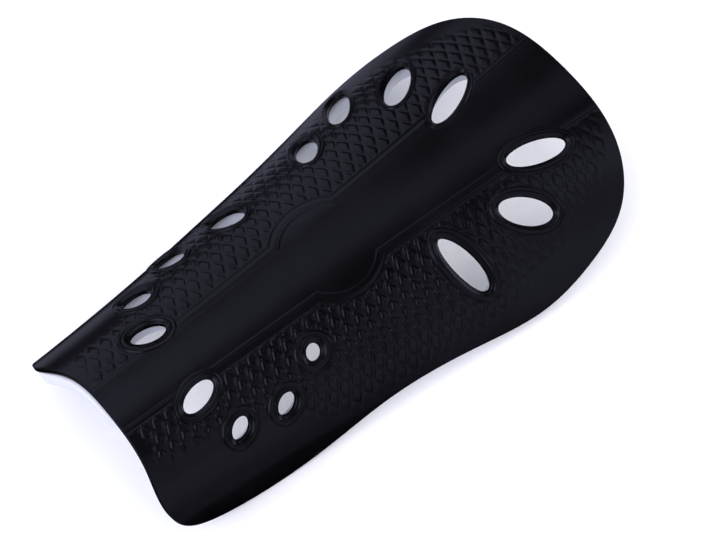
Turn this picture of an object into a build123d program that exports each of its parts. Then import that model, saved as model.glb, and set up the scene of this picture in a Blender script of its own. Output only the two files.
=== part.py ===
"""Slip-in shin guard for football: a moulded plastic shell bonded to a foam liner.

Units are millimetres and degrees. The guard lies with its hollow side down, as on a bench.
+X runs from the ankle end to the knee end, +Y is the side with four upper vents, and +Z is
outwards from the shin. The origin is under the middle of the guard, on the bench.

Every layer is drawn in a flat pattern and then wrapped round the shin. A point of the pattern
is (along, around): along is the distance from mid length towards the knee end, and around is
the arc length from the ridge, measured round the section. Depth is measured outwards from the
shell's outer face, so the layers under it have negative depths.
"""

import os
from math import comb, cos, radians, sin

from build123d import *

# ------------------------------------------------------------------ driving dimensions
HALF_LENGTH = 103.0
SHELL_THICKNESS = 2.0
FILM_THICKNESS = 0.2
FOAM_THICKNESS = 4.8

# Wrap of the section, from the ridge to the wing at the reference half width. The first
# value is at the ankle end and the last at the knee end, with a Bernstein blend between.
WRAP_ANGLES = (86.0, 80.0, 56.5, 50.5)
REFERENCE_HALF_WIDTHS = (56.0, 72.0)
# Share of the wrap that tightens towards the wing tips, at the ankle and at the knee.
WING_SHARES = (0.2, 0.0)
# Height of the ridge over mid length: the linear, square and cubic terms at the knee end.
RIDGE_TERMS = (-1.5, 1.6, -1.6)

# The flat outline, from the middle of the ankle notch round the +Y side and back.
OUTLINE = (
    (-98.2, 0.0),
    (-99.9, 22.0),
    (-104.6, 39.5),
    (-101.5, 50.0),
    (-86.0, 59.0),
    (-68.0, 62.5),
    (-20.0, 58.0),
    (20.0, 63.0),
    (46.0, 67.0),
    (68.0, 62.5),
    (87.5, 52.5),
    (99.0, 35.0),
    (103.0, 0.0),
    (99.0, -35.0),
    (87.5, -52.5),
    (68.0, -62.5),
    (46.0, -67.0),
    (20.0, -63.0),
    (-20.0, -58.0),
    (-68.0, -62.5),
    (-86.0, -59.0),
    (-99.5, -49.5),
    (-102.4, -37.0),
    (-99.9, -22.0),
)

# The smooth centre panel and the raised rib that borders it. The half width is a Bernstein
# blend of these values, from the ankle end to the knee end.
PANEL_HALF_WIDTHS = (7.5, 9.1, 16.5)
MEDALLION_ALONG = -5.0
MEDALLION_RADIUS = 16.2
RIB_WIDTH = 4.0
RIB_HEIGHT = 0.6

# The vents: along, around, half length, half width, turn of the long axis, collar width.
VENTS = {
    "left_1": (-70.5, 15.0, 6.4, 3.6, -20.0, 3.8),
    "left_2": (-64.0, 33.0, 5.6, 4.2, -30.0, 3.6),
    "left_3": (-45.0, 42.5, 7.0, 5.0, -65.0, 3.0),
    "left_4": (-21.0, 38.5, 7.2, 4.8, -50.0, 2.8),
    "left_5": (17.0, 41.0, 7.5, 4.4, 65.0, 2.8),
    "left_6": (38.0, 50.0, 11.0, 4.6, 60.0, 2.0),
    "left_7": (57.0, 37.5, 10.5, 5.0, 43.0, 2.2),
    "left_8": (65.0, 17.5, 11.8, 4.3, 24.0, 2.2),
    "right_1": (-71.5, -13.7, 6.9, 3.5, 15.0, 3.2),
    "right_2": (-66.5, -30.8, 4.2, 2.8, 35.0, 3.8),
    "right_3": (-49.0, -33.9, 4.2, 2.9, 33.0, 3.8),
    "right_4": (-31.6, -25.2, 3.1, 2.6, 45.0, 4.4),
    "right_6": (29.0, -33.9, 12.8, 4.2, -79.0, 4.0),
    "right_7": (58.0, -32.3, 10.3, 5.0, -43.0, 3.6),
    "right_8": (74.0, -18.1, 11.4, 4.2, -18.0, 3.0),
}
COLLAR_HEIGHT = 0.8

# The foam stops short of the shell's edge, and its vents leave a ledge of shell in view. It
# was cut long at part of the ankle end, where it overhangs between these places round the section.
FOAM_INSET = 0.9
FOAM_OVERHANG = 0.9
OVERHANG_AROUND = (-20.0, 5.0, 25.0, 48.0)
FOAM_VENT_MARGIN = 2.2

# ------------------------------------------------------------------ modelling allowances
SPARE_ALONG = 12.0
SPARE_AROUND = 16.0
ROOT_DEPTH = 0.4
OVERCUT = 3.0
GRID_ALONG = 13
GRID_AROUND = 33
ARC_STEPS = 12
OUTLINE_SAMPLES = 120
EDGE_SAMPLES = 14
PANEL_STATIONS = 7


# ------------------------------------------------------------------ wrapping the pattern
def blend(values, share):
    """Bernstein blend of the values, from the first at share 0 to the last at share 1."""
    order = len(values) - 1
    return sum(
        comb(order, i) * value * share**i * (1 - share) ** (order - i)
        for i, value in enumerate(values)
    )


def lean(along, around):
    """Angle between the outer face's normal and straight up, in radians."""
    share = (along / HALF_LENGTH + 1) / 2
    ratio = around / blend(REFERENCE_HALF_WIDTHS, share)
    tightening = blend(WING_SHARES, share)
    return radians(blend(WRAP_ANGLES, share)) * ((1 - tightening) * ratio + tightening * ratio**3)


def wrap(along, around, depth=0.0):
    """The point in space of a point of the flat pattern."""
    step = around / ARC_STEPS
    angles = [lean(along, step * (i + 0.5)) for i in range(ARC_STEPS)]
    run = along / HALF_LENGTH
    ridge = sum(term * run ** (i + 1) for i, term in enumerate(RIDGE_TERMS))
    y = sum(cos(angle) for angle in angles) * step
    z = ridge - sum(sin(angle) for angle in angles) * step
    tip = lean(along, around)
    return Vector(along, y + depth * sin(tip), z + depth * cos(tip))


def wrapped_face(depth):
    """A face at one depth, larger than the guard all round."""
    along_reach = HALF_LENGTH + SPARE_ALONG
    around_reach = max(around for _, around in OUTLINE) + SPARE_AROUND
    rows = [
        [
            wrap(
                along_reach * (2 * i / (GRID_ALONG - 1) - 1),
                around_reach * (2 * j / (GRID_AROUND - 1) - 1),
                depth,
            )
            for j in range(GRID_AROUND)
        ]
        for i in range(GRID_ALONG)
    ]
    return Face.make_surface_from_array_of_points(rows, tol=0.005)


def slab(top, bottom):
    """A layer between two depths, larger than the guard all round."""
    upper = wrapped_face(top)
    lower = wrapped_face(bottom)
    sides = []
    for edge in upper.edges():
        partner = min(lower.edges(), key=lambda other: (other @ 0.5 - edge @ 0.5).length)
        sides.append(Face.make_surface_from_curves(edge, partner))
    return Solid(Shell([upper, lower, *sides]))


def keep_inside(layer, wall, along, around, depth):
    """The piece of the layer inside the wall, which holds the given point."""
    inside_point = wrap(along, around, depth)
    pieces = layer.split(wall, keep=Keep.ALL)
    return min(pieces, key=lambda piece: piece.distance_to(inside_point))


# ------------------------------------------------------------------ the flat pattern
def flat_outline():
    """The closed outline of the shell in the flat pattern, as one curve."""
    return Spline(*OUTLINE, periodic=True)


def foam_inset(along, around):
    """How far the foam stops short of the outline, negative where it overhangs."""
    start, full_from, full_to, end = OVERHANG_AROUND
    rise = min((around - start) / (full_from - start), (end - around) / (end - full_to), 1)
    share = max(rise, 0) if along < 0 else 0
    return FOAM_INSET - share * (FOAM_INSET + FOAM_OVERHANG)


def outline_loop(curve, inset, depth):
    """The outline moved inwards in the pattern, wrapped at one depth.

    The inset is one distance, or a function of the place in the pattern.
    """
    points = []
    for i in range(OUTLINE_SAMPLES):
        position = curve @ (i / OUTLINE_SAMPLES)
        inwards = (curve % (i / OUTLINE_SAMPLES)).cross(Vector(0, 0, 1))
        position += inwards * (inset(position.X, position.Y) if callable(inset) else inset)
        points.append(wrap(position.X, position.Y, depth))
    return Edge.make_spline(points, periodic=True)


def outline_wall(curve, inset, top, bottom):
    """A wall round the outline, moved inwards, between two depths."""
    upper, lower = (outline_loop(curve, inset, depth) for depth in (top, bottom))
    return Face.make_surface_from_curves(upper, lower)


def pattern_wall(face, top, bottom):
    """A wall round a face of the flat pattern, between two depths."""
    walls = []
    for edge in face.outer_wire().edges():
        flat = [edge @ (i / EDGE_SAMPLES) for i in range(EDGE_SAMPLES + 1)]
        upper = Edge.make_spline([wrap(p.X, p.Y, top) for p in flat])
        lower = Edge.make_spline([wrap(p.X, p.Y, bottom) for p in flat])
        walls.append(Face.make_surface_from_curves(upper, lower))
    return Shell(walls)


def panel_half_width(along):
    """Distance of the centre panel's side from the ridge line."""
    return blend(PANEL_HALF_WIDTHS, (along / HALF_LENGTH + 1) / 2)


def panel_shape(margin):
    """The centre panel with its round medallion, grown sideways by a margin."""
    reach = HALF_LENGTH + SPARE_ALONG / 2
    stations = [reach * (2 * i / (PANEL_STATIONS - 1) - 1) for i in range(PANEL_STATIONS)]
    widths = [panel_half_width(along) + margin for along in stations]
    left = Spline(*[(along, width) for along, width in zip(stations, widths)])
    right = Spline(*[(along, -width) for along, width in zip(stations, widths)])
    strip = make_face([left, right, Line(left @ 0, right @ 0), Line(left @ 1, right @ 1)])
    return strip + Pos(MEDALLION_ALONG, 0) * Circle(MEDALLION_RADIUS + margin)


# ------------------------------------------------------------------ vents, collars and ribs
def vent_plane(along, around, turn):
    """Plane on the outer face at a vent, with X on its long axis and Z outwards."""
    step = 0.5
    run_along = (wrap(along + step, around) - wrap(along - step, around)).normalized()
    run_around = (wrap(along, around + step) - wrap(along, around - step)).normalized()
    long_axis = run_along * cos(radians(turn)) + run_around * sin(radians(turn))
    return Plane(wrap(along, around), x_dir=long_axis, z_dir=run_along.cross(run_around))


def vent_cutters(margin):
    """Elliptical plugs through every layer, one for each vent."""
    through = SHELL_THICKNESS + FILM_THICKNESS + FOAM_THICKNESS + OVERCUT
    plugs = []
    for along, around, half_length, half_width, turn, _ in VENTS.values():
        plane = vent_plane(along, around, turn).offset(OVERCUT)
        profile = plane * Ellipse(half_length + margin, half_width + margin)
        plugs.append(extrude(profile, amount=-(through + OVERCUT)))
    return plugs


def collars(relief):
    """A raised collar round every vent, cut from a thin relief layer."""
    pieces = []
    for along, around, half_length, half_width, turn, width in VENTS.values():
        plane = vent_plane(along, around, turn).offset(OVERCUT)
        disc = plane * Ellipse(half_length + width, half_width + width)
        pieces.append(relief & extrude(disc, amount=-2 * OVERCUT))
    return pieces


def ribs(relief):
    """The two raised ribs beside the centre panel, cut from a thin relief layer."""
    bands = panel_shape(RIB_WIDTH) - panel_shape(0)
    pieces = []
    for band in bands.faces():
        wall = pattern_wall(band, OVERCUT, -OVERCUT)
        middle = band.center()
        side = 1 if middle.Y > 0 else -1
        along = -HALF_LENGTH / 2
        around = side * (panel_half_width(along) + RIB_WIDTH / 2)
        pieces.append(keep_inside(relief, wall, along, around, 0))
    return pieces


# ------------------------------------------------------------------ the three layers
def make_outer_shell(outline):
    """Moulded shell: constant thickness, with ribs, collars and vents."""
    wall = outline_wall(outline, 0, OVERCUT, -SHELL_THICKNESS - OVERCUT)
    body = keep_inside(slab(0, -SHELL_THICKNESS), wall, 0, 0, -SHELL_THICKNESS / 2)
    rib_wall = outline_wall(outline, RIB_HEIGHT, OVERCUT, -OVERCUT)
    rib_relief = keep_inside(slab(RIB_HEIGHT, -ROOT_DEPTH), rib_wall, 0, 0, 0)
    collar_relief = slab(COLLAR_HEIGHT, -ROOT_DEPTH)
    body = body.fuse(*ribs(rib_relief))
    body = body.fuse(*collars(collar_relief))
    return body.cut(*vent_cutters(0))


def make_liner_layer(outline, inset, top, bottom):
    """One layer under the shell, moved inwards from the outline, with the larger vents."""
    wall = outline_wall(outline, inset, top + OVERCUT, bottom - OVERCUT)
    layer = keep_inside(slab(top, bottom), wall, 0, 0, (top + bottom) / 2)
    return layer.cut(*vent_cutters(FOAM_VENT_MARGIN))


def main():
    outline = flat_outline()
    film_top = -SHELL_THICKNESS
    foam_top = film_top - FILM_THICKNESS
    foam_bottom = foam_top - FOAM_THICKNESS
    nodes = {
        "outer_shell": make_outer_shell(outline),
        "adhesive_film": make_liner_layer(outline, FOAM_INSET, film_top, foam_top),
        "foam_liner": make_liner_layer(outline, foam_inset, foam_top, foam_bottom),
    }
    corners = [point for shape in nodes.values() for point in shape.tessellate(0.02)[0]]
    lowest = min(point.Z for point in corners)
    middle = nodes["outer_shell"].bounding_box().center()
    to_bench = Pos(-middle.X, -middle.Y, -lowest)
    os.makedirs("parts", exist_ok=True)
    for name, shape in nodes.items():
        placed = to_bench * shape
        export_step(placed, f"parts/{name}.step")
        size = placed.bounding_box().size
        print(f"{name}: {placed.volume / 1000:.2f} cm3, {size.X:.1f} x {size.Y:.1f} x {size.Z:.1f} mm")
    print(f"moved to the bench by {-middle.X:.3f}, {-middle.Y:.3f}, {-lowest:.3f} mm")


main()
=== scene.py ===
"""Looks of the slip-in shin guard: a relief-moulded plastic shell, its adhesive film and its foam.

Every layer is drawn in a flat pattern and wrapped round the shin, as the CAD layers are. A point
of the pattern is (along, around) in millimetres: along runs from mid length to the knee end, and
around is the arc length from the ridge. Depth is outwards from the shell's outer face. Meshes are
in metres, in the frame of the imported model.
"""

from math import comb, pi, radians

import bmesh
import bpy
import numpy as np
from mathutils import Matrix, Vector
from mathutils.geometry import delaunay_2d_cdt


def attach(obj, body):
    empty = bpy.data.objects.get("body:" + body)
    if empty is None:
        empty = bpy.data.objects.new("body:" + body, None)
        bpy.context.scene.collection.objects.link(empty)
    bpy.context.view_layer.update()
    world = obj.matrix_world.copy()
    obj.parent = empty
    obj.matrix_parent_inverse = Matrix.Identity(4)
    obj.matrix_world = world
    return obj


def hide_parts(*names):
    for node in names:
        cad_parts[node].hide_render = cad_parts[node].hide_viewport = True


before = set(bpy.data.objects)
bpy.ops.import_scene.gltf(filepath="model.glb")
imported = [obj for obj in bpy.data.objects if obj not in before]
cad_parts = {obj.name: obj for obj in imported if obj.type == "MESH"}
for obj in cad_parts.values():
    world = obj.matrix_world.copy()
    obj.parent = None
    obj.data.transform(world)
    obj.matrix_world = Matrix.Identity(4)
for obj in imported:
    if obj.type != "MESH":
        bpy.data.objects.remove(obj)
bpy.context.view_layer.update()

# ------------------------------------------------------------------ driving dimensions, in mm
MILLIMETRE = 0.001
# From the wrapped pattern's own origin to the bench under the middle of the guard.
BENCH_SHIFT = (0.73, 0.002, 34.553)
HALF_LENGTH = 103.0
SHELL_THICKNESS = 2.0
FILM_THICKNESS = 0.2
FOAM_THICKNESS = 4.8

# Wrap of the section in degrees, from the ridge to the wing at the reference half width. The
# first value is at the ankle end and the last at the knee end, with a Bernstein blend between.
WRAP_ANGLES = (86.0, 80.0, 56.5, 50.5)
REFERENCE_HALF_WIDTHS = (56.0, 72.0)
# Share of the wrap that tightens towards the wing tips, at the ankle and at the knee.
WING_SHARES = (0.2, 0.0)
# Height of the ridge over mid length: the linear, square and cubic terms at the knee end.
RIDGE_TERMS = (-1.5, 1.6, -1.6)

# The flat outline, from the middle of the ankle notch round the +Y side and back.
OUTLINE = (
    (-98.2, 0.0),
    (-99.9, 22.0),
    (-104.6, 39.5),
    (-101.5, 50.0),
    (-86.0, 59.0),
    (-68.0, 62.5),
    (-20.0, 58.0),
    (20.0, 63.0),
    (46.0, 67.0),
    (68.0, 62.5),
    (87.5, 52.5),
    (99.0, 35.0),
    (103.0, 0.0),
    (99.0, -35.0),
    (87.5, -52.5),
    (68.0, -62.5),
    (46.0, -67.0),
    (20.0, -63.0),
    (-20.0, -58.0),
    (-68.0, -62.5),
    (-86.0, -59.0),
    (-99.5, -49.5),
    (-102.4, -37.0),
    (-99.9, -22.0),
)

# Half width of the centre panel: a Bernstein blend from the ankle end to the knee end. A round
# medallion widens it, and a rib runs along either side.
PANEL_HALF_WIDTHS = (7.5, 9.1, 16.5)
MEDALLION_ALONG = -5.0
MEDALLION_RADIUS = 16.2
RIB_WIDTH = 4.0

# The vents: along, around, half length, half width, turn of the long axis, collar width.
VENTS = {
    "left_1": (-70.5, 15.0, 6.4, 3.6, -20.0, 3.8),
    "left_2": (-64.0, 33.0, 5.6, 4.2, -30.0, 3.6),
    "left_3": (-45.0, 42.5, 7.0, 5.0, -65.0, 3.0),
    "left_4": (-21.0, 38.5, 7.2, 4.8, -50.0, 2.8),
    "left_5": (17.0, 41.0, 7.5, 4.4, 65.0, 2.8),
    "left_6": (38.0, 50.0, 11.0, 4.6, 60.0, 2.0),
    "left_7": (57.0, 37.5, 10.5, 5.0, 43.0, 2.2),
    "left_8": (65.0, 17.5, 11.8, 4.3, 24.0, 2.2),
    "right_1": (-71.5, -13.7, 6.9, 3.5, 15.0, 3.2),
    "right_2": (-66.5, -30.8, 4.2, 2.8, 35.0, 3.8),
    "right_3": (-49.0, -33.9, 4.2, 2.9, 33.0, 3.8),
    "right_4": (-31.6, -25.2, 3.1, 2.6, 45.0, 4.4),
    "right_6": (29.0, -33.9, 12.8, 4.2, -79.0, 4.0),
    "right_7": (58.0, -32.3, 10.3, 5.0, -43.0, 3.6),
    "right_8": (74.0, -18.1, 11.4, 4.2, -18.0, 3.0),
}

# The foam stops short of the shell's edge by its inset, but overhangs it at part of the ankle
# end. The overhang grows and fades again between these places round the section.
FOAM_INSET = 0.9
FOAM_OVERHANG = 0.9
OVERHANG_AROUND = (-20.0, 5.0, 25.0, 48.0)
# The foam's vents are wider than the shell's by the margin, and its outer edges are bevelled.
FOAM_VENT_MARGIN = 2.2
FOAM_BEVEL = 0.12
# The rounded inner edges: how far from the wall, and how high over the inner face.
FOAM_INNER_EDGE = ((0.0, 0.7), (0.06, 0.36), (0.2, 0.14), (0.5, 0.02), (1.1, 0.0))
SHELL_INNER_EDGE = ((0.0, 0.25), (0.08, 0.08), (0.3, 0.0))
SHELL_VENT_EDGE = ((0.0, 0.2), (0.2, 0.0))
# The walls of the shell's vents have one more line at this depth, under the collars.
VENT_WALL_LINE = 0.5
# The film stops short of the foam's edges, slopes by the bevel and doesn't touch its neighbours.
FILM_RIM_GAP = 0.15
FILM_VENT_GAP = 0.1
FILM_BEVEL = 0.05
FILM_CLEARANCE = 0.01

# ------------------------------------------------------------------ relief of the outer face
# Heights across a vent collar, by share of its width from the opening outwards.
COLLAR_SHARES = (0.0, 0.1, 0.24, 0.36, 0.41, 0.46, 0.52, 0.76, 0.82, 0.87, 0.94, 1.0)
COLLAR_HEIGHTS = (-0.34, -0.18, 0.1, 0.34, 0.58, 0.56, 0.3, 0.3, 0.56, 0.54, 0.1, -0.06)
# Heights across a rib, in mm from the panel outwards, two plain lines that support the rib on
# the panel's side, and where along the guard the rib is at full width.
RIB_STATIONS = (-0.1, 0.3, 0.6, 0.9, 1.2, 1.5, 1.9, 2.3, 3.1, 3.5, 4.0, 4.4)
RIB_HEIGHTS = (0.0, 0.12, 0.16, 0.15, 0.15, 0.18, 0.2, 0.19, 0.08, 0.06, 0.2, 0.25)
RIB_SUPPORTS = (-0.8, -0.2)
RIB_FULL_FROM = -71.0
RIB_FULL_TO = 70.0
RIB_END_SHARE = 0.6
# The diamond lattice on the wings: its steps along and round the guard, the middle of one
# diamond, the slope of its rows, and the columns and rows that are drawn.
DIAMOND_PITCH = 5.04
DIAMOND_ROW = 4.8
DIAMOND_PHASE = (-49.9, 15.3)
DIAMOND_ROW_SLOPE = -0.07
DIAMOND_COLUMNS = range(-30, 34)
DIAMOND_ROWS = range(-4, 13)
# Heights of a diamond, by share of the way from its centre to the next cell.
DIAMOND_SHARES = (0.3, 0.62, 0.7, 0.89)
DIAMOND_HEIGHTS = (0.54, 0.44, 0.34, 0.0)
DOT_RADII = (0.25, 0.5)
DOT_DEPTH = 0.09
# How far round the section the diamonds reach, by place along the guard.
REACH_ALONG = (-104.0, -88.0, -72.0, -52.0, -30.0, 0.0, 40.0, 62.0, 80.0, 94.0, 104.0)
REACH_AROUND = (25.0, 29.0, 31.0, 41.0, 54.0, 57.0, 59.0, 55.0, 46.0, 37.0, 26.0)
REACH_FADE = 7.0
# The diamonds of the wing with three upper vents are shallower towards the knee end, and those
# of the other wing are shallow all along.
SHALLOW_ALONG = (18.0, 64.0)
SHALLOW_SHARE = 0.25
LEFT_SHARE = 0.45
# Smooth strips beside the ribs, the collars and the shell's edge.
MOAT = 0.45
EDGE_CLEARANCE = 2.4
EDGE_FADE = 3.0
# The shell's edge is rounded over this width, down to this depth.
EDGE_ROUND = 0.4
EDGE_DROP = 0.34

# ------------------------------------------------------------------ fineness of the meshes
# Points round the rim, points round each vent, and the spacing of the grid on a plain face.
SHELL_FINENESS = (660, 72, 3.2)
FILM_FINENESS = (330, 48, 3.5)
FOAM_FINENESS = (420, 60, 2.4)
# How far the grid keeps from a rim and from a vent, as shares of its spacing.
GRID_RIM_SHARE = 0.6
GRID_VENT_SHARE = 0.5
# Height of a triangle with equal sides, as a share of its side.
TRIANGLE_HEIGHT = 0.866
# Half width of the pattern that the grids and the diamonds cover.
PATTERN_REACH = 70.0
# Points of the outline that distances from the shell's edge are measured to.
FINE_OUTLINE = 2640
# Steps of the sums round the section, of each stretch of a spline and of the two bisections.
ARC_STEPS = 12
SPLINE_STEPS = 60
MARGIN_STEPS = 26
CORNER_STEPS = 40
# Points on one side of a diamond, points round its dot, and the step along a rib.
DIAMOND_SIDE_POINTS = 3
DOT_POINTS = 8
RIB_STEP = 1.0
# Points whose distances are worked out together, to bound the memory that takes.
BLOCK = 4000
# Points nearer to each other than this become one.
MERGE_GAP = 1e-5
# Lines inside the shell's edge, at these insets.
EDGE_LINES = (0.12, 0.25, EDGE_ROUND, 0.9)
# Texture weaker than this share isn't drawn, and its lines keep this far from other relief.
FAINTEST_TEXTURE = 0.01
LINE_GAP = 0.05
# The plain parts of the shell's outer face: the grid's spacing, and its gaps to the edge, to
# the ribs and collars, and to the ribs on the panel's side.
PLAIN_GRID = 1.7
PLAIN_EDGE_GAP = 1.8
PLAIN_RELIEF_GAP = 1.3
PLAIN_PANEL_GAP = 1.2

# ------------------------------------------------------------------ stage, in metres and degrees
FLOOR_HALF = 3.0
CAMERA_PLACE = (-0.20103, -0.2365, 0.71517)
CAMERA_AIM = (0.00057, -0.0107, 0.01977)
CAMERA_ROLL = 1.25
CAMERA_LENS = 111.56
COOL_WHITE = (0.7, 0.72, 1.0)
PLAIN_WHITE = (1.0, 1.0, 1.0)
WORLD_COLOUR = (1.0, 0.99, 0.98)
WORLD_STRENGTH = 1.08


# ------------------------------------------------------------------ wrapping the pattern
def blend(values, share):
    """Bernstein blend of the values, from the first at share 0 to the last at share 1."""
    order = len(values) - 1
    return sum(
        comb(order, i) * value * share**i * (1 - share) ** (order - i)
        for i, value in enumerate(values)
    )


def share_along(along):
    """Share of the way from the ankle end to the knee end."""
    return (along / HALF_LENGTH + 1) / 2


def lean(along, around):
    """Angle between the outer face's normal and straight up, in radians."""
    share = share_along(along)
    ratio = around / blend(REFERENCE_HALF_WIDTHS, share)
    tightening = blend(WING_SHARES, share)
    return np.radians(blend(WRAP_ANGLES, share)) * ((1 - tightening) * ratio + tightening * ratio**3)


def wrap(along, around, depth):
    """Points in space, in metres, of points of the flat pattern."""
    step = around / ARC_STEPS
    angles = [lean(along, step * (i + 0.5)) for i in range(ARC_STEPS)]
    run = along / HALF_LENGTH
    ridge = sum(term * run ** (i + 1) for i, term in enumerate(RIDGE_TERMS))
    y = sum(np.cos(angle) for angle in angles) * step
    z = ridge - sum(np.sin(angle) for angle in angles) * step
    tip = lean(along, around)
    points = np.stack([along, y + depth * np.sin(tip), z + depth * np.cos(tip)], axis=1)
    return (points + np.array(BENCH_SHIFT)) * MILLIMETRE


# ------------------------------------------------------------------ lines of the flat pattern
def periodic_spline(points, count):
    """Points and inward normals at even steps along the closed cubic spline through points."""
    knots = np.array(points)
    following = np.roll(knots, -1, axis=0)
    chords = np.linalg.norm(following - knots, axis=1)
    size = len(knots)
    matrix = np.zeros((size, size))
    sides = np.zeros((size, 2))
    for i in range(size):
        before, after = chords[i - 1], chords[i]
        matrix[i, i - 1] += before
        matrix[i, i] += 2 * (before + after)
        matrix[i, (i + 1) % size] += after
        rise = (following[i] - knots[i]) / after
        sides[i] = 6 * (rise - (knots[i] - knots[i - 1]) / before)
    bends = np.linalg.solve(matrix, sides)
    fine = []
    for i in range(size):
        chord = chords[i]
        t = np.linspace(0, chord, SPLINE_STEPS, endpoint=False)[:, None]
        s = chord - t
        bend, next_bend = bends[i], bends[(i + 1) % size]
        curve = (bend * s**3 + next_bend * t**3) / (6 * chord)
        curve += (knots[i] / chord - bend * chord / 6) * s
        curve += (following[i] / chord - next_bend * chord / 6) * t
        fine.append(curve)
    fine = np.concatenate(fine)
    lengths = np.linalg.norm(np.roll(fine, -1, axis=0) - fine, axis=1)
    travelled = np.concatenate([[0], np.cumsum(lengths)])
    closed = np.concatenate([fine, fine[:1]])
    wanted = np.linspace(0, travelled[-1], count, endpoint=False)
    line = np.stack([np.interp(wanted, travelled, closed[:, k]) for k in (0, 1)], axis=1)
    tangent = np.roll(line, -1, axis=0) - np.roll(line, 1, axis=0)
    tangent /= np.linalg.norm(tangent, axis=1)[:, None]
    inward = np.stack([tangent[:, 1], -tangent[:, 0]], axis=1)
    return line, inward


def outline(count):
    """The closed outline of the shell, with the inward normals."""
    return periodic_spline(OUTLINE, count)


def overhang(points):
    """How far the foam reaches past its usual inset, at points of the outline."""
    share = np.interp(points[:, 1], OVERHANG_AROUND, (0, 1, 1, 0)) * (points[:, 0] < 0)
    return share * (FOAM_INSET + FOAM_OVERHANG)


def vent_loop(vent, margin, count):
    """A closed ellipse round a vent, grown by a margin."""
    along, around, half_length, half_width, turn, _ = vent
    angle = np.linspace(0, 2 * pi, count, endpoint=False)
    u = (half_length + margin) * np.cos(angle)
    v = (half_width + margin) * np.sin(angle)
    c, s = np.cos(radians(turn)), np.sin(radians(turn))
    return np.stack([along + u * c - v * s, around + u * s + v * c], axis=1)


def vent_margin(vent, points):
    """How far each point lies outside the vent: the margin of the ellipse through it."""
    along, around, half_length, half_width, turn, _ = vent
    c, s = np.cos(radians(turn)), np.sin(radians(turn))
    x, y = points[:, 0] - along, points[:, 1] - around
    u, v = x * c + y * s, y * c - x * s
    # The margin is bisected between an ellipse that is all but closed up and one too big.
    low = np.full(len(points), -0.9 * half_width)
    high = np.hypot(u, v) + 1.0
    for _ in range(MARGIN_STEPS):
        middle = (low + high) / 2
        inside = (u / (half_length + middle)) ** 2 + (v / (half_width + middle)) ** 2 < 1
        high = np.where(inside, middle, high)
        low = np.where(inside, low, middle)
    return (low + high) / 2


def panel_edge(along):
    """Half width of the centre panel."""
    return blend(PANEL_HALF_WIDTHS, share_along(along))


def panel_distance(points):
    """How far each point lies outside the centre panel and its medallion."""
    straight = np.abs(points[:, 1]) - panel_edge(points[:, 0])
    round_part = np.hypot(points[:, 0] - MEDALLION_ALONG, points[:, 1]) - MEDALLION_RADIUS
    return np.minimum(straight, round_part)


def rib_scale(along):
    """Share of the full rib width: the ribs are narrower past the end vents."""
    full = (along > RIB_FULL_FROM) & (along < RIB_FULL_TO)
    return np.where(full, 1.0, RIB_END_SHARE)


def smooth_step(value):
    """Rises smoothly from 0 to 1 while the value does."""
    value = np.clip(value, 0, 1)
    return value * value * (3 - 2 * value)


# ------------------------------------------------------------------ heights of the outer face
def first_row(along):
    """How far round the section the first row of diamonds lies."""
    return DIAMOND_PHASE[1] + DIAMOND_ROW_SLOPE * (along + HALF_LENGTH / 2)


def diamond_height(points):
    """Height of the endless diamond lattice."""
    column = (points[:, 0] - DIAMOND_PHASE[0]) / DIAMOND_PITCH
    row = (np.abs(points[:, 1]) - first_row(points[:, 0])) / (2 * DIAMOND_ROW)
    best = np.full(len(points), np.inf)
    dot = np.full(len(points), np.inf)
    for offset in (0.0, 0.5):
        x = column - offset - np.round(column - offset)
        y = row - offset - np.round(row - offset)
        best = np.minimum(best, 2 * (np.abs(x) + np.abs(y)))
        dot = np.minimum(dot, np.hypot(x * DIAMOND_PITCH, y * 2 * DIAMOND_ROW))
    height = np.interp(best, DIAMOND_SHARES, DIAMOND_HEIGHTS)
    return height - np.interp(dot, DOT_RADII, (DOT_DEPTH, 0.0))


def texture_strength(points, edge_distance):
    """Share of the full diamond height at each point, before collars and ribs clear it."""
    reach = np.interp(points[:, 0], REACH_ALONG, REACH_AROUND)
    strength = smooth_step((reach - np.abs(points[:, 1])) / REACH_FADE)
    shallow = np.interp(points[:, 0], SHALLOW_ALONG, (1, SHALLOW_SHARE))
    strength *= np.where(points[:, 1] < 0, shallow, LEFT_SHARE)
    return strength * smooth_step((edge_distance - EDGE_CLEARANCE) / EDGE_FADE)


def outer_height(points):
    """Height of the moulded relief over the plain outer face."""
    edge_distance = distance_to(points, outline(FINE_OUTLINE)[0])
    panel = panel_distance(points) / rib_scale(points[:, 0])
    height = diamond_height(points) * texture_strength(points, edge_distance)
    outer_step = RIB_HEIGHTS[-1] * smooth_step((RIB_STATIONS[-1] + MOAT - panel) / MOAT)
    height = np.maximum(height, outer_step)
    rib = np.interp(panel, RIB_STATIONS, RIB_HEIGHTS, left=0)
    height = np.where(panel < RIB_STATIONS[-1], rib, height)
    for vent in VENTS.values():
        margin = vent_margin(vent, points)
        width = vent[5]
        height = height * smooth_step((margin - width) / MOAT)
        collar = np.interp(margin / width, COLLAR_SHARES, COLLAR_HEIGHTS, right=0)
        height = np.where(margin < width, collar, height)
    rounding = 1 - np.clip(edge_distance / EDGE_ROUND, 0, 1)
    height *= 1 - rounding
    return height - EDGE_DROP * rounding**2


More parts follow.
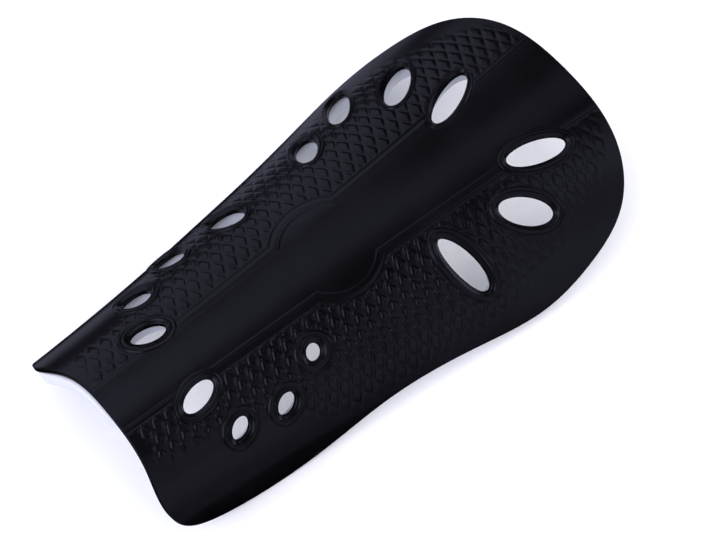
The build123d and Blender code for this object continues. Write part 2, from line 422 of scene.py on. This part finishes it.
# ------------------------------------------------------------------ triangulation
class Pattern:
    """Points and lines of the flat pattern, gathered for one triangulation."""

    def __init__(self):
        self.points = []
        self.edges = []
        self.count = 0

    def add_points(self, points):
        """Adds loose points, and returns the numbers they got."""
        first = self.count
        self.points.append(np.asarray(points, float))
        self.count += len(points)
        return np.arange(first, self.count)

    def add_line(self, points, closed=False, keep=None):
        """Adds a line. keep says which of its points stay; a link needs both its ends."""
        points = np.asarray(points, float)
        keep = np.ones(len(points), bool) if keep is None else keep
        places = np.full(len(points), -1)
        places[keep] = self.add_points(points[keep])
        ends = np.roll(places, -1)
        if not closed:
            ends[-1] = -1
        linked = (places >= 0) & (ends >= 0)
        self.edges.extend(zip(places[linked].tolist(), ends[linked].tolist()))
        return places

    def triangulate(self, rim, openings):
        """Triangles inside the rim and outside the openings, and where each input point went."""
        points = np.concatenate(self.points)
        vectors = [Vector(point) for point in points]
        result = delaunay_2d_cdt(vectors, self.edges, [], 0, MERGE_GAP, True)
        coordinates = np.array([tuple(vertex) for vertex in result[0]])
        triangles = np.array(result[2])
        went_to = np.full(len(points), -1)
        for new, olds in enumerate(result[3]):
            went_to[olds] = new
        centres = coordinates[triangles].mean(axis=1)
        keep = inside_polygon(centres, rim)
        for opening in openings:
            keep &= ~inside_polygon(centres, opening)
        return coordinates, triangles[keep], went_to


def inside_polygon(points, polygon):
    """Which points are inside a closed polygon."""
    inside = np.zeros(len(points), bool)
    low, high = polygon.min(axis=0), polygon.max(axis=0)
    near = np.all((points >= low) & (points <= high), axis=1)
    x, y = points[near, 0], points[near, 1]
    crossed = np.zeros(len(x), bool)
    for start, end in zip(polygon, np.roll(polygon, -1, axis=0)):
        if start[1] == end[1]:
            continue
        spans = (start[1] > y) != (end[1] > y)
        at = start[0] + (y - start[1]) * (end[0] - start[0]) / (end[1] - start[1])
        crossed ^= spans & (x < at)
    inside[near] = crossed
    return inside


def distance_to(points, line):
    """Distance of each point from the nearest of the line's points."""
    squares = []
    for block in np.array_split(points, len(points) // BLOCK + 1):
        gaps = block[:, None, :] - line[None, :, :]
        squares.append((gaps**2).sum(axis=2).min(axis=1))
    return np.sqrt(np.concatenate(squares))


def grid(spacing):
    """A staggered grid over the whole pattern."""
    rows = []
    step = spacing * TRIANGLE_HEIGHT
    for i, along in enumerate(np.arange(-HALF_LENGTH, HALF_LENGTH + step, step)):
        around = np.arange(-PATTERN_REACH, PATTERN_REACH, spacing) + (i % 2) * spacing / 2
        rows.append(np.stack([np.full(len(around), along), around], axis=1))
    return np.concatenate(rows)


class Solid:
    """Points and faces of a closed mesh, gathered face by face."""

    def __init__(self):
        self.points = []
        self.faces = []
        self.count = 0

    def add_points(self, flat, depth):
        """Wraps points of the pattern at a depth, and returns the numbers they got."""
        first = self.count
        self.points.append(wrap(flat[:, 0], flat[:, 1], depth))
        self.count += len(flat)
        return np.arange(first, self.count)

    def add_face(self, borders, fill, depth, height=None):
        """Adds the face between the borders, and returns the numbers of the borders' points.

        fill adds lines and points to its pattern, and height gives the relief over its depth.
        """
        pattern = Pattern()
        places = [pattern.add_line(border, closed=True) for border in borders]
        fill(pattern, borders)
        flat, triangles, went_to = pattern.triangulate(borders[0], borders[1:])
        numbers = self.add_points(flat, depth + height(flat) if height else depth)
        self.faces.extend(numbers[triangles].tolist())
        return [numbers[went_to[place]] for place in places]

    def add_wall(self, upper, lower):
        """Adds quads between two closed rings of the same length."""
        corners = (upper, np.roll(upper, -1), np.roll(lower, -1), lower)
        self.faces.extend(np.stack(corners, axis=1).tolist())

    def build(self, name):
        """The object with this mesh."""
        mesh = bpy.data.meshes.new(name)
        mesh.from_pydata(np.concatenate(self.points).tolist(), [], self.faces)
        mesh.validate()
        mesh.update()
        mesh.shade_smooth()
        piece = add_object(name, mesh)
        clean(mesh)
        return piece


def plain_fill(spacing, margin):
    """What fills a plain face: a grid that keeps clear of the rim and of the vents."""

    def fill(pattern, borders):
        points = grid(spacing)
        clear = inside_polygon(points, borders[0])
        clear &= distance_to(points, borders[0]) > GRID_RIM_SHARE * spacing
        for vent in VENTS.values():
            clear &= vent_margin(vent, points) > margin + GRID_VENT_SHARE * spacing
        pattern.add_points(points[clear])

    return fill


def layered_solid(name, fineness, rim_stations, vent_stations, relief=None, reach=None):
    """A closed mesh between the first station, on the outer side, and the last, on the inner.

    rim_stations are (inset, depth) round the outline, and vent_stations (margin, depth) round
    each vent. Both start at the outer face's depth and end at the inner face's. relief is the
    outer face's own fill and heights, and reach moves the outline outwards.
    """
    rim_count, vent_count, spacing = fineness
    rim, inward = outline(rim_count)
    if reach:
        rim = rim - inward * reach(rim)[:, None]
    loops = [[(rim + inward * inset, depth) for inset, depth in rim_stations]]
    for vent in VENTS.values():
        rings = [(vent_loop(vent, margin, vent_count), depth) for margin, depth in vent_stations]
        loops.append(rings)
    outer_margin, outer_depth = vent_stations[0]
    inner_margin, inner_depth = vent_stations[-1]
    outer_fill, height = relief or (plain_fill(spacing, outer_margin), None)
    inner_fill = plain_fill(spacing, inner_margin)
    solid = Solid()
    outer_rings = solid.add_face([loop[0][0] for loop in loops], outer_fill, outer_depth, height)
    inner_rings = solid.add_face([loop[-1][0] for loop in loops], inner_fill, inner_depth)
    for loop, outer_ring, inner_ring in zip(loops, outer_rings, inner_rings):
        between = [solid.add_points(line, depth) for line, depth in loop[1:-1]]
        rings = [outer_ring, *between, inner_ring]
        for upper, lower in zip(rings, rings[1:]):
            solid.add_wall(upper, lower)
    return solid.build(name)


def add_object(name, data):
    """A new object with the mesh, camera or light."""
    thing = bpy.data.objects.new(name, data)
    bpy.context.scene.collection.objects.link(thing)
    return thing


def aimed(place, aim):
    """Where a camera or light stands, and how it turns, to look from a place at its aim."""
    heading = Vector(aim) - Vector(place)
    return Matrix.Translation(place) @ heading.to_track_quat("-Z", "Y").to_matrix().to_4x4()


def clean(mesh):
    """Deletes the points that no face uses, and turns every face outwards."""
    work = bmesh.new()
    work.from_mesh(mesh)
    loose = [vertex for vertex in work.verts if not vertex.link_faces]
    bmesh.ops.delete(work, geom=loose, context="VERTS")
    bmesh.ops.recalc_face_normals(work, faces=work.faces)
    work.to_mesh(mesh)
    work.free()


# ------------------------------------------------------------------ detail lines of the shell
def rib_lines(pattern):
    """Lines along both ribs, at every station across them, and support lines on the panel."""
    steps = np.arange(RIB_STEP - HALF_LENGTH, HALF_LENGTH - RIB_STEP / 2, RIB_STEP)
    for side in (1, -1):
        for station in (*RIB_SUPPORTS, *RIB_STATIONS, RIB_STATIONS[-1] + MOAT):
            radius = MEDALLION_RADIUS + station
            straight = np.stack([steps, panel_edge(steps) + station * rib_scale(steps)], axis=1)
            outside = np.hypot(steps - MEDALLION_ALONG, straight[:, 1]) > radius
            before = straight[outside & (steps < MEDALLION_ALONG)]
            after = straight[outside & (steps > MEDALLION_ALONG)]
            start, finish = corner_angle(station, -1), corner_angle(station, 1)
            angles = np.linspace(start, finish, int(radius * abs(start - finish) / RIB_STEP))
            arc = radius * np.stack([np.cos(angles), np.sin(angles)], axis=1)
            line = np.concatenate([before, arc + (MEDALLION_ALONG, 0), after]) * (1, side)
            pattern.add_line(line, keep=clear_of_vents(line, LINE_GAP))


def corner_angle(station, direction):
    """Angle on the medallion where its rim meets the straight rib, at one station across."""
    radius = MEDALLION_RADIUS + station
    low, high = 0.0, pi / 2
    for _ in range(CORNER_STEPS):
        middle = (low + high) / 2
        along = MEDALLION_ALONG + direction * radius * np.cos(middle)
        if radius * np.sin(middle) < panel_edge(along) + station:
            low = middle
        else:
            high = middle
    return high if direction > 0 else pi - high


def clear_of_vents(points, gap):
    """Which points are outside every collar by more than a gap."""
    clear = np.ones(len(points), bool)
    for vent in VENTS.values():
        clear &= vent_margin(vent, points) > vent[5] + gap
    return clear


def diamond_centres():
    """Middles of the diamonds of one wing."""
    column, row = (axis.ravel() for axis in np.meshgrid(DIAMOND_COLUMNS, DIAMOND_ROWS))
    along = DIAMOND_PHASE[0] + DIAMOND_PITCH * (column + 0.5 * (row % 2))
    around = first_row(along) + DIAMOND_ROW * row
    near = (np.abs(along) < HALF_LENGTH + DIAMOND_PITCH) & (around > 0) & (around < PATTERN_REACH)
    return np.stack([along[near], around[near]], axis=1)


def diamond_loops():
    """The closed lines of one diamond round its middle: its steps in height and its dot."""
    corners = np.array([(1, 0), (0, 1), (-1, 0), (0, -1)]) * (DIAMOND_PITCH / 2, DIAMOND_ROW)
    following = np.roll(corners, -1, axis=0)
    sides = np.linspace(corners, following, DIAMOND_SIDE_POINTS, endpoint=False, axis=1)
    angles = np.linspace(0, 2 * pi, DOT_POINTS, endpoint=False)
    circle = np.stack([np.cos(angles), np.sin(angles)], axis=1)
    loops = [sides.reshape(-1, 2) * share for share in DIAMOND_SHARES]
    loops.extend(circle * radius for radius in DOT_RADII)
    for loop in loops:
        loop[:, 1] += DIAMOND_ROW_SLOPE * loop[:, 0]
    return loops


def diamond_lines(pattern, rim):
    """Outlines and dots of every diamond that shows."""
    for side in (1, -1):
        for loop in diamond_loops():
            lines = (diamond_centres()[:, None] + loop) * (1, side)
            points = lines.reshape(-1, 2)
            keep = texture_strength(points, distance_to(points, rim)) > FAINTEST_TEXTURE
            keep &= inside_polygon(points, rim) & clear_of_vents(points, LINE_GAP)
            keep &= panel_distance(points) > RIB_WIDTH * rib_scale(points[:, 0]) + LINE_GAP
            for line, kept in zip(lines, keep.reshape(lines.shape[:2])):
                if kept.any():
                    pattern.add_line(line, closed=True, keep=kept)


def shell_detail(pattern, borders):
    """Every line of the shell's outer face inside its borders, and a grid on its plain parts."""
    rim, inward = outline(len(borders[0]))
    for inset in EDGE_LINES:
        pattern.add_line(rim + inward * inset, closed=True)
    for vent, border in zip(VENTS.values(), borders[1:]):
        width = vent[5]
        for margin in (*(share * width for share in COLLAR_SHARES[1:]), width + MOAT):
            pattern.add_line(vent_loop(vent, margin, len(border)), closed=True)
    rib_lines(pattern)
    diamond_lines(pattern, rim)
    plain = grid(PLAIN_GRID)
    plain = plain[inside_polygon(plain, rim)]
    edge_distance = distance_to(plain, rim)
    panel = panel_distance(plain)
    clear = (edge_distance > PLAIN_EDGE_GAP) & clear_of_vents(plain, PLAIN_RELIEF_GAP)
    clear &= (panel < -PLAIN_PANEL_GAP) | (panel > RIB_WIDTH + PLAIN_RELIEF_GAP)
    textured = (panel > 0) & (texture_strength(plain, edge_distance) > FAINTEST_TEXTURE)
    pattern.add_points(plain[clear & ~textured])


# ------------------------------------------------------------------ materials
def principled(name, colour, roughness, specular=0.5):
    """A material with its shader, ready for more nodes."""
    material = bpy.data.materials.new(name)
    material.use_nodes = True
    shader = material.node_tree.nodes["Principled BSDF"]
    shader.inputs["Base Color"].default_value = (*colour, 1)
    shader.inputs["Roughness"].default_value = roughness
    shader.inputs["Specular IOR Level"].default_value = specular
    return material, shader


def node(material, kind, **inputs):
    """A new node of a material, with its input sockets set by name."""
    new = material.node_tree.nodes.new(kind)
    for key, value in inputs.items():
        new.inputs[key].default_value = value
    return new


def link(material, start, end):
    """Joins an output socket of the material's nodes to an input socket."""
    material.node_tree.links.new(start, end)


def noise_node(material, scale, detail, roughness=0.5):
    """Noise fixed to the object, with its scale in waves per metre."""
    place = node(material, "ShaderNodeTexCoord")
    texture = node(material, "ShaderNodeTexNoise", Scale=scale, Detail=detail, Roughness=roughness)
    link(material, place.outputs["Object"], texture.inputs["Vector"])
    return texture


def ramp(material, source, colours, low, high):
    """A two-stop colour ramp fed by a source."""
    new = node(material, "ShaderNodeValToRGB")
    stops = new.color_ramp.elements
    stops[0].position, stops[1].position = low, high
    stops[0].color, stops[1].color = [(*colour, 1) for colour in colours]
    link(material, source, new.inputs["Fac"])
    return new.outputs["Color"]


def bump(material, height, strength, distance):
    """A bump node fed by a height, with its distance in metres."""
    new = node(material, "ShaderNodeBump", Strength=strength, Distance=distance)
    link(material, height, new.inputs["Height"])
    return new


def shell_plastic():
    """Semi-gloss black moulded plastic: fine mould grain, faint smears, uneven gloss."""
    material, shader = principled(
        "black_moulded_plastic", (0.003, 0.003, 0.004), roughness=0.34, specular=0.25
    )
    tint = noise_node(material, scale=28.0, detail=4.0)
    blacks = ((0.0014, 0.0014, 0.002), (0.003, 0.003, 0.0044))
    colour = ramp(material, tint.outputs["Fac"], blacks, low=0.35, high=0.7)
    link(material, colour, shader.inputs["Base Color"])
    smear = noise_node(material, scale=55.0, detail=5.0, roughness=0.6)
    gloss = node(material, "ShaderNodeMapRange")
    gloss.inputs["To Min"].default_value = 0.2
    gloss.inputs["To Max"].default_value = 0.32
    link(material, smear.outputs["Fac"], gloss.inputs["Value"])
    link(material, gloss.outputs["Result"], shader.inputs["Roughness"])
    grain = noise_node(material, scale=5200.0, detail=2.0)
    bumps = bump(material, grain.outputs["Fac"], strength=0.06, distance=0.00004)
    link(material, bumps.outputs["Normal"], shader.inputs["Normal"])
    return material


def liner_foam():
    """White closed-cell foam with a skin of fine pores."""
    material, shader = principled(
        "white_closed_cell_foam", (0.64, 0.66, 0.72), roughness=0.78, specular=0.3
    )
    shader.inputs["Subsurface Weight"].default_value = 0.12
    shader.inputs["Subsurface Radius"].default_value = (0.9, 0.95, 1.0)
    shader.inputs["Subsurface Scale"].default_value = 0.0012
    mottle = noise_node(material, scale=60.0, detail=4.0)
    whites = ((0.6, 0.62, 0.68), (0.68, 0.7, 0.76))
    colour = ramp(material, mottle.outputs["Fac"], whites, low=0.3, high=0.75)
    link(material, colour, shader.inputs["Base Color"])
    place = node(material, "ShaderNodeTexCoord")
    pores = node(material, "ShaderNodeTexVoronoi", Scale=1900.0)
    link(material, place.outputs["Object"], pores.inputs["Vector"])
    fine = bump(material, pores.outputs["Distance"], strength=0.35, distance=0.00009)
    soft = noise_node(material, scale=420.0, detail=3.0)
    broad = bump(material, soft.outputs["Fac"], strength=0.25, distance=0.0002)
    link(material, fine.outputs["Normal"], broad.inputs["Normal"])
    link(material, broad.outputs["Normal"], shader.inputs["Normal"])
    return material


def bond_adhesive():
    """Thin, slightly yellow contact adhesive."""
    material, shader = principled("contact_adhesive", (0.5, 0.46, 0.36), roughness=0.3)
    streaks = noise_node(material, scale=240.0, detail=5.0, roughness=0.6)
    yellows = ((0.42, 0.38, 0.28), (0.6, 0.56, 0.46))
    colour = ramp(material, streaks.outputs["Fac"], yellows, low=0.3, high=0.7)
    link(material, colour, shader.inputs["Base Color"])
    bumps = bump(material, streaks.outputs["Fac"], strength=0.3, distance=0.0001)
    link(material, bumps.outputs["Normal"], shader.inputs["Normal"])
    return material


def stage_material():
    """Matt white of the table."""
    material, _ = principled("stage_white", (0.9, 0.9, 0.91), roughness=0.6, specular=0.2)
    return material


# ------------------------------------------------------------------ the pieces
def inner_edge(wall_place, inner_depth, edge):
    """The (inset or margin, depth) stations of a rounded inner edge."""
    return [(wall_place + inset, inner_depth + height) for inset, height in edge]


def build_shell():
    """The moulded shell, with the relief on its outer face."""
    inner = -SHELL_THICKNESS
    rim_stations = [(0.0, 0.0), *inner_edge(0.0, inner, SHELL_INNER_EDGE)]
    vent_stations = [(0.0, 0.0), (0.0, -VENT_WALL_LINE), *inner_edge(0.0, inner, SHELL_VENT_EDGE)]
    relief = (shell_detail, outer_height)
    return layered_solid("moulded_shell", SHELL_FINENESS, rim_stations, vent_stations, relief)


def build_film():
    """The adhesive between the shell and the foam."""
    top = -SHELL_THICKNESS - FILM_CLEARANCE
    bottom = -SHELL_THICKNESS - FILM_THICKNESS + FILM_CLEARANCE
    inset = FOAM_INSET + FILM_RIM_GAP
    margin = FOAM_VENT_MARGIN + FILM_VENT_GAP
    rim_stations = [(inset + FILM_BEVEL, top), (inset, bottom)]
    vent_stations = [(margin + FILM_BEVEL, top), (margin, bottom)]
    return layered_solid("adhesive_sheet", FILM_FINENESS, rim_stations, vent_stations)


def foam_stations(wall_place):
    """The (inset or margin, depth) stations of the foam's edge round a wall at this place."""
    top = -SHELL_THICKNESS - FILM_THICKNESS
    bottom = top - FOAM_THICKNESS
    outer_edge = [(wall_place + FOAM_BEVEL, top), (wall_place, top - FOAM_BEVEL)]
    return outer_edge + inner_edge(wall_place, bottom, FOAM_INNER_EDGE)


def build_foam():
    """The foam liner, which reaches past the shell at part of the ankle end."""
    rim_stations = foam_stations(FOAM_INSET)
    vent_stations = foam_stations(FOAM_VENT_MARGIN)
    name = "foam_liner_pad"
    return layered_solid(name, FOAM_FINENESS, rim_stations, vent_stations, reach=overhang)


def build_guard():
    """Every piece, with its body, the CAD node that it replaces, and its material."""
    pieces = (
        (build_shell, "outer_shell", "shell_plastic", shell_plastic),
        (build_film, "adhesive_film", "bond_adhesive", bond_adhesive),
        (build_foam, "foam_liner", "liner_foam", liner_foam),
    )
    for build, cad_node, slot, material in pieces:
        piece = build()
        piece.data.materials.append(material())
        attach(piece, "root")
        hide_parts(cad_node)


# ------------------------------------------------------------------ stage, camera and light
def build_camera():
    """The camera, which looks down on the guard from its ankle end and its -Y side."""
    data = bpy.data.cameras.new("camera")
    data.lens = CAMERA_LENS
    data.sensor_width = 36.0
    data.clip_end = 20.0
    camera = add_object("camera", data)
    roll = Matrix.Rotation(radians(CAMERA_ROLL), 4, "Z")
    camera.matrix_world = aimed(CAMERA_PLACE, CAMERA_AIM) @ roll
    bpy.context.scene.camera = camera


def build_floor():
    """A white table. Reflections leave it out, and the table lights stand in for it."""
    mesh = bpy.data.meshes.new("floor")
    corners = [(x * FLOOR_HALF, y * FLOOR_HALF, 0) for x, y in ((-1, -1), (1, -1), (1, 1), (-1, 1))]
    mesh.from_pydata(corners, [], [(0, 1, 2, 3)])
    floor = add_object("floor", mesh)
    mesh.materials.append(stage_material())
    floor.visible_glossy = False


def area_light(name, place, aim, size, radiance, colour=COOL_WHITE):
    """A soft box with one brightness all over, in W per square metre and steradian."""
    data = bpy.data.lights.new(name, "AREA")
    data.shape = "RECTANGLE"
    data.size, data.size_y = size
    data.energy = radiance * pi * size[0] * size[1]
    data.color = colour
    light = add_object(name, data)
    light.matrix_world = aimed(place, aim)
    light.visible_camera = False


def build_lights():
    """An even white room that reflections leave out, and the soft boxes that they show.

    The table lights stand in for the floor's reflection on either side, the canopies hang over
    the wing with four upper vents, and hollow keeps the floor under the guard pale.
    """
    world = bpy.data.worlds.new("studio")
    world.use_nodes = True
    background = world.node_tree.nodes["Background"]
    background.inputs["Color"].default_value = (*WORLD_COLOUR, 1)
    background.inputs["Strength"].default_value = WORLD_STRENGTH
    world.cycles_visibility.glossy = False
    bpy.context.scene.world = world
    # Each has its place, its aim, its width and height, and its radiance.
    area_light("key", (-1.3, 0.1, 1.3), (0, 0, 0), (1.4, 1.4), 2.2)
    area_light("knee_low", (1.2, -0.4, 0.22), (0, 0, 0.03), (0.6, 0.3), 3.0)
    area_light("left", (-0.15, 1.15, 0.6), (0, 0, 0), (1.7, 1.1), 0.9)
    area_light("left_table", (0.03, 0.083, 0.001), (0.03, 0.083, 1), (0.4, 0.05), 0.45)
    area_light("right_table", (0, -0.2, 0.001), (0, -0.2, 1), (0.5, 0.27), 0.22)
    area_light("right", (0.1, -1.0, 0.75), (0, 0, 0.03), (1.8, 0.8), 0.42)
    area_light("right_low", (0, -1.3, 0.25), (0, 0, 0.03), (2.0, 0.6), 0.5)
    area_light("canopy_ankle", (-0.02, 0.2, 0.5), (-0.02, 0.2, 0), (0.14, 0.3), 1.35)
    area_light("canopy", (0.12, 0.2, 0.5), (0.12, 0.2, 0), (0.16, 0.3), 0.7)
    area_light("canopy_knee", (0.3, 0.08, 0.5), (0.3, 0.08, 0), (0.2, 0.16), 0.6)
    area_light("hollow", (0, 0, 0.013), (0, 0, 0), (0.17, 0.05), 0.32, PLAIN_WHITE)
    area_light("right_box", (0.28, -0.28, 0.5), (0.06, -0.03, 0.03), (0.22, 0.22), 0.9)
    bpy.context.scene.view_settings.view_transform = "Standard"


build_camera()
build_floor()
build_lights()
build_guard()
